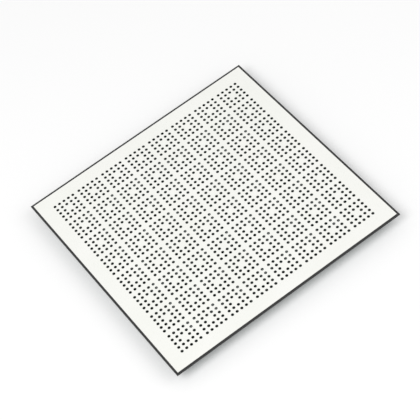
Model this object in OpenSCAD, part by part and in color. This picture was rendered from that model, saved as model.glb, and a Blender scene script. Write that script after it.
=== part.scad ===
// Perforated raised floor tile. A square steel tile drops into one bay of a raised floor and lets
// air rise through it. The flat steel top plate has a laminate facing bonded on and is punched
// through both. A pressed steel pan is spot welded below the plate, and black edge trim runs round
// the facing. Origin: centre of the tile at the level of the pan's foot, +Z up through the walking
// face. Millimetres.

/* [Tile] */
// Width and depth over the edge trim
tile_w = 600; // [560:1:640]
// Height from the pan's foot to the walking face
tile_h = 35; // [30:0.5:45]

/* [Sheets] */
// Thickness of the laminate facing
facing_t = 1; // [0.8:0.1:3]
// Thickness of the steel in the top plate
plate_t = 2; // [1.5:0.1:3]
// Thickness of the pressed pan
pan_t = 1; // [0.7:0.1:1.5]

/* [Perforation] */
// Spacing of the square groups of holes, each with one dome of the pan below it
group_pitch = 66.7; // [62:0.1:80]
// Holes along each side of a group, whose middle place stays unpunched over the weld
group_holes = 5; // [3:2:5]
// Spacing of the holes in a group
hole_pitch = 12.4; // [11:0.1:13.5]
// Diameter of a hole
hole_d = 7; // [4:0.1:8]

/* [Edge trim] */
// Width of the trim's top leg
trim_w = 5; // [3:0.1:9]
// Thickness of the trim's side leg
trim_t = 1; // [0.6:0.1:2]
// Height of the trim's foot above the underside of the lip
trim_lift = 0.2; // [0.1:0.1:0.6]

/* [Pan rim] */
// Distance from the tile's edge to the pan's wall, which is the lip that sits on the stringers
lip_w = 13; // [10:0.5:16]
// How far the wall leans in between the lip and the foot
wall_lean = 7.5; // [4:0.5:12]
// Width of the rim's flat foot
foot_w = 7; // [6:0.5:12]
// How far the rim's inner slope leans in between the foot and the web
slope_lean = 5; // [3:0.5:8]
// Corner radius of the pan at the edge of its web
corner_r = 3; // [1:0.5:10]
// Inside radius of the pan's bends
bend_r = 1.5; // [1:0.1:2]

/* [Domes] */
// Height of the flat web above the foot
web_z = 10; // [7:0.5:14]
// Diameter of a dome where it leaves the web
dome_d = 52; // [44:0.5:54]
// Diameter of the circle where a dome is deepest
crest_d = 31; // [28:0.5:34]
// Diameter of the mouth of the hollow in a dome
mouth_d = 22; // [18:0.5:24]
// Land between a weld pad and the holes round it
weld_land = 2.4; // [1.5:0.1:3.5]
// Least flat web between the rim and the outermost domes
web_land = 3; // [1:0.5:6]
// Diameter of the vents in the web between four domes
vent_d = 32; // [20:0.5:34]

/* [Hidden] */
$fn = 48;
hole_fn = 24;
seam = 1;

facing_z = tile_h - facing_t;
plate_z = facing_z - plate_t;
lip_z = plate_z - pan_t;
plate_w = tile_w - 2 * trim_t;
facing_w = tile_w - 2 * trim_w;
trim_z = lip_z + trim_lift;

// Profile of the rim, outwards from the web's edge.
rim_flat = 2 * (bend_r + pan_t);
rim_w = rim_flat + slope_lean + foot_w + wall_lean + rim_flat;
web_w = tile_w - 2 * (lip_w - rim_flat + rim_w);
foot_r = bend_r + pan_t;

// The widest square of domes that leaves its land inside the rim.
groups = floor((web_w - dome_d - 2 * web_land) / group_pitch) + 1;
middle = (group_holes - 1) / 2;
pad_r = hole_pitch - hole_d / 2 - weld_land;
rise_turn = 180;
rise_power = 1.4;
rise_steps = 6;
bend_steps = 3;

steel_colour = [0.36, 0.41, 0.40];
facing_colour = [0.96, 0.96, 0.93];
trim_colour = [0.08, 0.08, 0.08];

function unit(v) = v / norm(v);
function left_of(a, b) = let (d = unit(b - a)) [-d[1], d[0]];
function turned(v, a) = [v[0] * cos(a) - v[1] * sin(a), v[0] * sin(a) + v[1] * cos(a)];

// One corner [x, y, radius] of a path as the points of an arc between its two legs.
function rounded(before, here, after, radius) =
    let (
        a = unit(before - here),
        b = unit(after - here),
        half = acos(a * b) / 2,
        centre = here + unit(a + b) * radius / sin(half),
        start = here + a * radius / tan(half) - centre,
        turn = (180 - 2 * half) * sign(cross(b, a))
    )
    [for (k = [0:bend_steps]) centre + turned(start, turn * k / bend_steps)];

// A path of [x, y, radius] corners as plain points.
function bent(path) = [
    for (i = [0:len(path) - 1])
        let (here = [path[i][0], path[i][1]])
        each path[i][2] == 0
            ? [here]
            : rounded([path[i - 1][0], path[i - 1][1]], here, [path[i + 1][0], path[i + 1][1]], path[i][2])
];

// The same path moved to its left by t, which makes the other face of a sheet.
function shifted(path, t) = [
    for (i = [0:len(path) - 1])
        let (
            m = left_of(path[max(i - 1, 0)], path[max(i, 1)]),
            q = left_of(path[min(i, len(path) - 2)], path[min(i + 1, len(path) - 1)])
        )
        path[i] + (m + q) * t / (1 + m * q)
];

module sheet(path, t) {
    other = shifted(path, t);
    polygon(concat(path, [for (i = [len(other) - 1:-1:0]) other[i]]));
}

module at_groups(n) {
    for (i = [0:n - 1], j = [0:n - 1])
        translate([(i - (n - 1) / 2) * group_pitch, (j - (n - 1) / 2) * group_pitch])
            children();
}

module group_of_holes() {
    for (i = [-middle:middle], j = [-middle:middle])
        if (i != 0 || j != 0)
            translate([i * hole_pitch, j * hole_pitch]) circle(d = hole_d, $fn = hole_fn);
}

module rounded_square(width, radius) {
    square([width, width - 2 * radius], center = true);
    square([width - 2 * radius, width], center = true);
    for (x = [-1, 1], y = [-1, 1])
        translate([x, y] * (width / 2 - radius)) circle(radius);
}

module slab(width, z, thickness) {
    translate([-width / 2, -width / 2, z]) cube([width, width, thickness]);
}

// The plate and, set back from its edge to seat the trim, the facing. The holes go through both.
module top_plate() {
    color(facing_colour) difference() {
        union() {
            slab(plate_w, plate_z, plate_t);
            slab(facing_w, facing_z, facing_t);
        }
        translate([0, 0, plate_z - seam]) linear_extrude(plate_t + facing_t + 2 * seam)
            at_groups(groups) group_of_holes();
    }
}

// Section of the rim from the web's edge, down the slope, across the foot and up to the lip.
module rim_section() {
    sheet(
        bent([
            [-seam, web_z, 0],
            [rim_flat, web_z, bend_r],
            [rim_flat + slope_lean, 0, foot_r],
            [rim_flat + slope_lean + foot_w, 0, foot_r],
            [rim_w - rim_flat, lip_z, bend_r],
            [rim_w + seam, lip_z, 0]
        ]),
        pan_t
    );
}

module rim() {
    straight = web_w - 2 * corner_r;
    for (k = [0:3]) rotate(90 * k) {
        translate([web_w / 2, straight / 2, 0]) rotate([90, 0, 0]) linear_extrude(straight) rim_section();
        translate([straight / 2, straight / 2, 0])
            rotate_extrude(angle = 90) translate([corner_r, 0]) rim_section();
    }
}

module lip() {
    translate([0, 0, lip_z]) linear_extrude(pan_t) difference() {
        square(plate_w, center = true);
        rounded_square(web_w + 2 * rim_w, corner_r + rim_w);
    }
}

module web() {
    translate([0, 0, web_z]) linear_extrude(pan_t) difference() {
        rounded_square(web_w, corner_r);
        at_groups(groups) circle(d = dome_d);
        at_groups(groups - 1) circle(d = vent_d);
    }
}

// A dome turned about its own axis: weld pad, cone, ring-shaped crest and flank up to the web.
module dome() {
    inner = bent([
        [0, lip_z, 0],
        [pad_r, lip_z, bend_r],
        [mouth_d / 2, 0, 2 * foot_r],
        [crest_d / 2, 0, 0]
    ]);
    flank = [
        for (k = [1:rise_steps])
            let (s = k / rise_steps)
            [
                crest_d / 2 + s * (dome_d - crest_d) / 2,
                web_z * (1 - cos(rise_turn * pow(s, rise_power))) / 2
            ]
    ];
    rotate_extrude() sheet(concat(inner, flank, [[dome_d / 2 + seam, web_z]]), pan_t);
}

module bottom_pan() {
    color(steel_colour) {
        lip();
        rim();
        web();
        at_groups(groups) dome();
    }
}

// One strip of trim along the -Y side, an L in section with mitred ends.
module trim() {
    half = tile_w / 2;
    color(trim_colour) for (leg = [[trim_w, facing_z], [trim_t, trim_z]])
        translate([0, 0, leg[1]]) linear_extrude(tile_h - leg[1]) polygon([
            [-half, -half], [half, -half], [half - leg[0], leg[0] - half], [leg[0] - half, leg[0] - half]
        ]);
}

module trim_front() {
    trim();
}

module trim_back() {
    rotate(180) trim();
}

module trim_left() {
    rotate(-90) trim();
}

module trim_right() {
    rotate(90) trim();
}

top_plate();
bottom_pan();
trim_front();
trim_back();
trim_left();
trim_right();
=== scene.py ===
"""Perforated raised floor tile, dressed for its picture.

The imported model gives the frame. The punched top is made again as a laminate sheet over a steel
sheet, the edge trim gets its rounded section, and the pressed pan keeps its shape and is coated.
All sizes here are millimetres until they reach a mesh, which is in metres.
"""

import math

import bpy
import numpy as np
from mathutils import Matrix, Vector


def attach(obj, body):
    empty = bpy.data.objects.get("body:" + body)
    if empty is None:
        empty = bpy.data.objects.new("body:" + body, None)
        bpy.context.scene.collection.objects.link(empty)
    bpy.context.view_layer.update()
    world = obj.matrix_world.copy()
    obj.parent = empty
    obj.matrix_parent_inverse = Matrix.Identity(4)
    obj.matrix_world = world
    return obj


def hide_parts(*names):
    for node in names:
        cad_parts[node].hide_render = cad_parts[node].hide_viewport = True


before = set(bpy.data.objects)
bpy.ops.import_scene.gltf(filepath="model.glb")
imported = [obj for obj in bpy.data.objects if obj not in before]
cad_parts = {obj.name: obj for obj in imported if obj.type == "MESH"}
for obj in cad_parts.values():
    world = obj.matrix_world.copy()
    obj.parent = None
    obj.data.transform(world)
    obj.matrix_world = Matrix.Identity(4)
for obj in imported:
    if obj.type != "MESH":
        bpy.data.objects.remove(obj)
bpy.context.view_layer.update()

MM = 0.001

# Perforation: square groups of holes, the middle place of each left whole over the weld.
GROUPS = 8
GROUP_PITCH = 66.7
GROUP_HOLES = 5
HOLE_PITCH = 12.4
HOLE_RADIUS = 3.5

# Width of the small break that the punch leaves round each hole in the facing.
HOLE_BREAK = 0.15

# Sheets, from the walking face down.
TILE_TOP = 35.0
FACING_LOW = 34.0
PLATE_LOW = 32.0
FACING_SIDE = 590.0
PLATE_SIDE = 598.0

# Edge trim, an L in section.
TILE_HALF = 300.0
TRIM_LEG = 5.0
TRIM_WALL = 1.0
TRIM_FOOT = 31.2
TRIM_NOSE = 0.6
TRIM_HEEL = 0.25
TRIM_CHAMFER = 0.3
MITRE_HAIRLINE = 0.08

# Strengths, where 1 is white: light from all round, what the floor bounces back, and how much
# brighter the floor looks than it is.
AROUND = 0.55
FLOOR_BOUNCE = 0.8
FLOOR_LIFT = 0.15


# ---------------------------------------------------------------- meshes


def piece(name, points, faces, finishes, nodes, finish_of_face=None, sharp=35.0):
    """A closed mesh in place, smooth but for edges that turn by more than sharp degrees."""
    mesh = bpy.data.meshes.new(name)
    mesh.from_pydata((np.asarray(points) * MM).tolist(), [], faces)
    for finish in finishes:
        mesh.materials.append(finish)
    if finish_of_face is not None:
        mesh.polygons.foreach_set("material_index", np.asarray(finish_of_face, np.int32))
    mesh.polygons.foreach_set("use_smooth", np.ones(len(mesh.polygons), bool))
    mesh.set_sharp_from_angle(angle=math.radians(sharp))
    mesh.update()
    made = bpy.data.objects.new(name, mesh)
    bpy.context.scene.collection.objects.link(made)
    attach(made, "root")
    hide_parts(*nodes)
    return made


def loop_quads(first, second):
    """Quads between two closed loops of point numbers, one row of each array to a loop."""
    return np.stack(
        [first, np.roll(first, -1, -1), np.roll(second, -1, -1), second], -1
    ).reshape(-1, 4)


def only_used(points, faces):
    """The same faces with the points that none of them uses left out."""
    used, faces_new = np.unique(faces, return_inverse=True)
    return points[used], faces_new.reshape(faces.shape)


def punched_sheet(side, low, high, edge):
    """A square sheet from z = low to z = high with every hole punched through it.

    The plan is a grid whose lines are the outer edges and, in each group, the thirds of every
    hole's square cell. The three by three quads of a cell give way to a ring from the twelve
    points round the cell to twelve points round the hole. The hole's radius grows by the square
    root of pi over 3, so that its twelve-sided outline has the area of the round hole. edge is the
    width of the small break round each hole in the upper face.
    Returns points, faces and, for each face, whether it is a hole's wall.
    """
    centres = (np.arange(GROUPS) - (GROUPS - 1) / 2) * GROUP_PITCH
    thirds = (np.arange(3 * GROUP_HOLES + 1) / 3 - GROUP_HOLES / 2) * HOLE_PITCH
    line = np.concatenate([[-side / 2], (centres[:, None] + thirds).ravel(), [side / 2]])
    n = len(line)
    plan = np.stack(np.meshgrid(line, line, indexing="ij"), -1).reshape(-1, 2)

    cell = (1 + thirds.size * np.arange(GROUPS)[:, None] + 3 * np.arange(GROUP_HOLES)).ravel()
    in_group = np.arange(cell.size) % GROUP_HOLES == GROUP_HOLES // 2
    i, j = np.meshgrid(cell, cell, indexing="ij")
    holed = ~(in_group[:, None] & in_group[None, :])
    i, j = i[holed], j[holed]

    open_cells = np.zeros((n - 1, n - 1), bool)
    for di in range(3):
        for dj in range(3):
            open_cells[i + di, j + dj] = True
    a, b = np.nonzero(~open_cells)
    flat = np.stack([a * n + b, (a + 1) * n + b, (a + 1) * n + b + 1, a * n + b + 1], -1)

    round_cell = np.array([0, 0, 1, 0, 2, 0, 3, 0, 3, 1, 3, 2, 3, 3, 2, 3, 1, 3, 0, 3, 0, 2, 0, 1])
    di, dj = round_cell.reshape(-1, 2).T
    around = (i[:, None] + di) * n + j[:, None] + dj
    turn = np.radians(-135 + 30 * np.arange(di.size))
    middle = np.stack([line[i], line[j]], -1) + HOLE_PITCH / 2
    radius = HOLE_RADIUS * math.sqrt(math.pi / 3)
    spoke = np.stack([np.cos(turn), np.sin(turn)], -1)

    def ring(r, z):
        xy = middle[:, None, :] + r * spoke
        return np.concatenate([xy, np.full(xy.shape[:2] + (1,), z)], -1).reshape(-1, 3)

    def level(z):
        return np.column_stack([plan, np.full(len(plan), z)])

    blocks = [level(high), ring(radius + edge, high), level(low), ring(radius, low)]
    if edge:
        blocks.append(ring(radius, high - edge))
    start = np.cumsum([0] + [len(block) for block in blocks])
    count = np.arange(around.size).reshape(around.shape)
    top_ring, low_ring = start[1] + count, start[3] + count
    wall_top = start[4] + count if edge else top_ring

    rim = np.concatenate(
        [
            np.arange(n - 1) * n,
            (n - 1) * n + np.arange(n - 1),
            np.arange(n - 1, 0, -1) * n + n - 1,
            np.arange(n - 1, 0, -1),
        ]
    )
    parts = [
        flat,
        loop_quads(around, top_ring),
        loop_quads(top_ring, wall_top) if edge else np.zeros((0, 4), int),
        loop_quads(wall_top, low_ring),
        (flat + start[2])[:, ::-1],
        loop_quads(around + start[2], low_ring)[:, ::-1],
        loop_quads(rim + start[2], rim),
    ]
    is_wall = np.concatenate([np.full(len(part), k == 3) for k, part in enumerate(parts)])
    points, faces = only_used(np.concatenate(blocks), np.concatenate(parts))
    return points, faces.tolist(), is_wall


def arc(centre, radius, start, end, steps):
    """Points on a circle's arc, angles in degrees."""
    turn = np.radians(np.linspace(start, end, steps + 1))
    return np.stack([centre[0] + radius * np.cos(turn), centre[1] + radius * np.sin(turn)], -1)


def trim_strip(quarter_turns):
    """One side's trim: the L section carried along the side and cut at 45 degrees at both ends.

    A point of the section stands in from the side by u and at height z, so an end of the strip has
    it at x = half the side less u and less the hairline of the mitre.
    """
    foot = [[TRIM_WALL, TRIM_FOOT], [TRIM_CHAMFER, TRIM_FOOT], [0.0, TRIM_FOOT + TRIM_CHAMFER]]
    section = np.concatenate(
        [
            foot,
            arc((TRIM_NOSE, TILE_TOP - TRIM_NOSE), TRIM_NOSE, 180, 90, 6),
            arc((TRIM_LEG - TRIM_HEEL, TILE_TOP - TRIM_HEEL), TRIM_HEEL, 90, 0, 4),
            [[TRIM_LEG, FACING_LOW], [TRIM_WALL, FACING_LOW]],
        ]
    )
    u, z = section.T
    reach = TILE_HALF - u - MITRE_HAIRLINE
    ends = [np.stack([s * reach, u - TILE_HALF, z], -1) for s in (-1, 1)]
    points = np.concatenate(ends)
    n = len(section)
    first = np.arange(n)
    sides = loop_quads(first + n, first)
    c, s = [(1, 0), (0, 1), (-1, 0), (0, -1)][quarter_turns]
    x, y, z = points.T
    turned = np.stack([c * x - s * y, s * x + c * y, z], -1)
    return turned, sides.tolist() + [first.tolist(), (first + n)[::-1].tolist()]


# ---------------------------------------------------------------- finishes


def linear(colour):
    """An sRGB hex colour as linear red, green, blue and alpha."""
    parts = np.array([int(colour[k : k + 2], 16) / 255 for k in (0, 2, 4)])
    parts = np.where(parts <= 0.04045, parts / 12.92, ((parts + 0.055) / 1.055) ** 2.4)
    return (*parts.tolist(), 1.0)


def add(tree, kind, sockets=None, **settings):
    """A node with its settings, each input a value or a link from another node's output."""
    made = tree.nodes.new("ShaderNode" + kind)
    for key, value in settings.items():
        setattr(made, key, value)
    for key, value in (sockets or {}).items():
        if isinstance(value, bpy.types.NodeSocket):
            tree.links.new(value, made.inputs[key])
        else:
            made.inputs[key].default_value = value
    return made


def finish(name, roughness, ior=1.5):
    """A material with its shader, output and object coordinates."""
    made = bpy.data.materials.new(name)
    made.use_nodes = True
    tree = made.node_tree
    tree.nodes.clear()
    surface = add(tree, "BsdfPrincipled", {"Roughness": roughness, "IOR": ior})
    out = add(tree, "OutputMaterial")
    tree.links.new(surface.outputs[0], out.inputs[0])
    here = add(tree, "TexCoord").outputs["Object"]
    return made, tree, surface, here


def per(size_mm):
    """The scale of a pattern whose features are size_mm across."""
    return 1 / (size_mm * MM)


def laminate():
    """High-pressure laminate pressed against a suede plate: a soft even white with a fine tooth
    that spreads highlights, and the faintest cloud in the paper under the melamine."""
    made, tree, surface, here = finish("melamine_laminate_suede", 0.6, ior=1.45)
    cloud = add(tree, "TexNoise", {"Vector": here, "Scale": per(85), "Detail": 3.0})
    paper = add(tree, "TexNoise", {"Vector": here, "Scale": per(2.2), "Detail": 2.0})
    tooth = add(tree, "TexNoise", {"Vector": here, "Scale": per(1.4), "Detail": 2.0})
    both = add(tree, "Math", {0: cloud.outputs["Fac"], 1: paper.outputs["Fac"]}, operation="ADD")
    mean = add(tree, "Math", {0: both.outputs[0], 1: 0.5}, operation="MULTIPLY")
    tone = add(tree, "ValToRGB", {"Fac": mean.outputs[0]})
    tone.color_ramp.elements[0].position = 0.35
    tone.color_ramp.elements[0].color = linear("F7F8F2")
    tone.color_ramp.elements[1].position = 0.65
    tone.color_ramp.elements[1].color = linear("FCFCF8")
    tree.links.new(tone.outputs["Color"], surface.inputs["Base Color"])
    span = {"From Min": 0.3, "From Max": 0.7, "To Min": 0.55, "To Max": 0.65}
    gloss = add(tree, "MapRange", {"Value": cloud.outputs["Fac"], **span})
    tree.links.new(gloss.outputs["Result"], surface.inputs["Roughness"])
    bump = add(tree, "Bump", {"Height": tooth.outputs["Fac"], "Strength": 0.35, "Distance": 0.05 * MM})
    tree.links.new(bump.outputs["Normal"], surface.inputs["Normal"])
    return made


def laminate_core():
    """Phenolic kraft core of the laminate, cut by the punch: dark brown and matt, in thin layers."""
    made, tree, surface, here = finish("phenolic_core_punched", 0.7, ior=1.55)
    lie = add(tree, "Mapping", {"Vector": here, "Scale": (1.0, 1.0, 14.0)})
    layers = add(tree, "TexNoise", {"Vector": lie.outputs[0], "Scale": per(4), "Detail": 2.0})
    tone = add(tree, "ValToRGB", {"Fac": layers.outputs["Fac"]})
    tone.color_ramp.elements[0].position = 0.35
    tone.color_ramp.elements[0].color = linear("1A130F")
    tone.color_ramp.elements[1].position = 0.7
    tone.color_ramp.elements[1].color = linear("33261D")
    tree.links.new(tone.outputs["Color"], surface.inputs["Base Color"])
    return made


def powder_coat():
    """Epoxy powder coat baked on pressed steel: grey-green, semi-gloss, with the slight orange peel
    that the cured film keeps, and a tone that drifts a little with its thickness."""
    made, tree, surface, here = finish("epoxy_powder_coat", 0.36)
    film = add(tree, "TexNoise", {"Vector": here, "Scale": per(38), "Detail": 3.0})
    peel = add(tree, "TexNoise", {"Vector": here, "Scale": per(2.6), "Detail": 1.0})
    tone = add(tree, "ValToRGB", {"Fac": film.outputs["Fac"]})
    tone.color_ramp.elements[0].position = 0.3
    tone.color_ramp.elements[0].color = linear("586462")
    tone.color_ramp.elements[1].position = 0.7
    tone.color_ramp.elements[1].color = linear("66726F")
    tree.links.new(tone.outputs["Color"], surface.inputs["Base Color"])
    span = {"From Min": 0.3, "From Max": 0.7, "To Min": 0.3, "To Max": 0.4}
    gloss = add(tree, "MapRange", {"Value": film.outputs["Fac"], **span})
    tree.links.new(gloss.outputs["Result"], surface.inputs["Roughness"])
    bump = add(tree, "Bump", {"Height": peel.outputs["Fac"], "Strength": 0.25, "Distance": 0.12 * MM})
    tree.links.new(bump.outputs["Normal"], surface.inputs["Normal"])
    return made


def extruded_vinyl(axis):
    """Extruded black PVC: satin, with faint die lines along the strip."""
    made, tree, surface, here = finish("extruded_pvc_along_" + "xy"[axis], 0.42, ior=1.48)
    stretch = [1.0, 1.0, 1.0]
    stretch[axis] = 0.02
    lie = add(tree, "Mapping", {"Vector": here, "Scale": stretch})
    lines = add(tree, "TexNoise", {"Vector": lie.outputs[0], "Scale": per(0.9), "Detail": 2.0})
    tone = add(tree, "ValToRGB", {"Fac": lines.outputs["Fac"]})
    tone.color_ramp.elements[0].position = 0.3
    tone.color_ramp.elements[0].color = linear("161616")
    tone.color_ramp.elements[1].position = 0.7
    tone.color_ramp.elements[1].color = linear("1F1F1F")
    tree.links.new(tone.outputs["Color"], surface.inputs["Base Color"])
    span = {"From Min": 0.3, "From Max": 0.7, "To Min": 0.36, "To Max": 0.5}
    gloss = add(tree, "MapRange", {"Value": lines.outputs["Fac"], **span})
    tree.links.new(gloss.outputs["Result"], surface.inputs["Roughness"])
    bump = add(tree, "Bump", {"Height": lines.outputs["Fac"], "Strength": 0.2, "Distance": 0.05 * MM})
    tree.links.new(bump.outputs["Normal"], surface.inputs["Normal"])
    return made


# ---------------------------------------------------------------- the tile

white = laminate()
core = laminate_core()
coat = powder_coat()
vinyl = [extruded_vinyl(0), extruded_vinyl(1)]

points, faces, is_wall = punched_sheet(FACING_SIDE, FACING_LOW, TILE_TOP, HOLE_BREAK)
piece("laminate_facing", points, faces, [white, core], ["top_plate"], is_wall)

points, faces, _ = punched_sheet(PLATE_SIDE, PLATE_LOW, FACING_LOW, 0.0)
piece("steel_plate", points, faces, [coat], ["top_plate"])

for turns, node in enumerate(["trim_front", "trim_right", "trim_back", "trim_left"]):
    points, faces = trim_strip(turns)
    piece("edge_" + node, points, faces, [vinyl[turns % 2]], [node])

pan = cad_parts["bottom_pan"]
pan.data.materials.clear()
pan.data.materials.append(coat)


# ---------------------------------------------------------------- floor, light and camera


def pale_floor():
    """Matt white floor. The camera and mirrors see it a little brighter, so that it meets the white
    background and still takes the shadow. Under the tile's footprint that brightening is left out,
    a painted shade that keeps the floor there as dark as its shadow. What the floor bounces back is
    even, as from a light table, so that the pan is lit below, and from below the floor isn't there."""
    made = bpy.data.materials.new("matt_white_floor")
    made.use_nodes = True
    tree = made.node_tree
    tree.nodes.clear()
    seen = add(tree, "LightPath")
    from_below = add(tree, "NewGeometry").outputs["Backfacing"]
    here = add(tree, "TexCoord").outputs["Object"]
    away = add(tree, "VectorMath", {0: here}, operation="ABSOLUTE")
    away = add(tree, "SeparateXYZ", {0: away.outputs[0]})
    away = add(tree, "Math", {0: away.outputs["X"], 1: away.outputs["Y"]}, operation="MAXIMUM")
    edge = TILE_HALF * MM
    span = {"From Min": edge - 0.04, "From Max": edge, "To Min": 0.0, "To Max": 1.0}
    # Painted shade: this mask is 0 under the tile's footprint and 1 beyond it, so the camera and
    # mirror brightening of the floor is left out under the tile.
    clear = add(tree, "MapRange", {"Value": away.outputs[0], **span})
    either = {0: seen.outputs["Is Camera Ray"], 1: seen.outputs["Is Glossy Ray"]}
    lift = add(tree, "Math", either, operation="MAXIMUM")
    lift = add(tree, "Math", {0: lift.outputs[0], 1: clear.outputs["Result"]}, operation="MULTIPLY")
    lift = add(tree, "Math", {0: lift.outputs[0], 1: FLOOR_LIFT}, operation="MULTIPLY")
    glow = add(tree, "Emission", {"Color": (1, 1, 1, 1), "Strength": lift.outputs[0]})
    matt = add(tree, "BsdfDiffuse", {"Color": linear("F2F2F2")})
    lit = add(tree, "AddShader", {0: matt.outputs[0], 1: glow.outputs[0]})
    bounce = add(tree, "Emission", {"Color": (1, 1, 1, 1), "Strength": FLOOR_BOUNCE})
    diffuse = seen.outputs["Is Diffuse Ray"]
    above = add(tree, "MixShader", {0: diffuse, 1: lit.outputs[0], 2: bounce.outputs[0]})
    nothing = add(tree, "BsdfTransparent")
    below = add(tree, "MixShader", {0: from_below, 1: above.outputs[0], 2: nothing.outputs[0]})
    made.cycles.emission_sampling = "NONE"
    out = add(tree, "OutputMaterial")
    tree.links.new(below.outputs[0], out.inputs[0])
    return made


bpy.ops.mesh.primitive_plane_add(size=30)
floor = bpy.context.object
floor.name = "floor"
floor.data.materials.append(pale_floor())

world = bpy.data.worlds.new("soft_studio")
bpy.context.scene.world = world
world.use_nodes = True
tree = world.node_tree
tree.nodes.clear()
seen = add(tree, "LightPath")
either = {0: seen.outputs["Is Camera Ray"], 1: seen.outputs["Is Glossy Ray"]}
direct = add(tree, "Math", either, operation="MAXIMUM")
either = {0: direct.outputs[0], 1: seen.outputs["Is Transmission Ray"]}
direct = add(tree, "Math", either, operation="MAXIMUM")
around = add(tree, "Background", {"Color": (1, 1, 1, 1), "Strength": AROUND})
behind = add(tree, "Background", {"Color": (1, 1, 1, 1), "Strength": 1.0})
sky = add(tree, "MixShader", {0: direct.outputs[0], 1: around.outputs[0], 2: behind.outputs[0]})
tree.links.new(sky.outputs[0], add(tree, "OutputWorld").inputs[0])


def soft_lamp(name, place, aim, side, watts):
    """A square area lamp of that side in metres, aimed at a point."""
    lamp = bpy.data.lights.new(name, "AREA")
    lamp.size = side
    lamp.energy = watts
    made = bpy.data.objects.new(name, lamp)
    made.location = place
    made.rotation_euler = (Vector(aim) - Vector(place)).to_track_quat("-Z", "Y").to_euler()
    bpy.context.scene.collection.objects.link(made)


soft_lamp("key", (-3.2, -1.2, 5.0), (0, 0, 0), 3.4, 150)
soft_lamp("fill", (3.0, -3.2, 4.0), (0, 0, 0), 4.0, 66)

camera = bpy.data.objects.new("camera", bpy.data.cameras.new("camera"))
bpy.context.scene.collection.objects.link(camera)
bpy.context.scene.camera = camera
camera.data.lens = 141.0
camera.data.sensor_width = 36.0
target = Vector((0, 0, TILE_TOP * MM))
place = Vector((-0.8067, -2.0992, 2.8905))
ahead = -place.normalized()
level = ahead.cross(Vector((0, 0, 1))).normalized()
lean = math.radians(-18.2)
right = level * math.cos(lean) + level.cross(ahead) * math.sin(lean)
up = right.cross(ahead)
turn = Matrix((right, up, -ahead)).transposed().to_4x4()
camera.matrix_world = Matrix.Translation(target + place) @ turn

bpy.context.scene.view_settings.view_transform = "Standard"
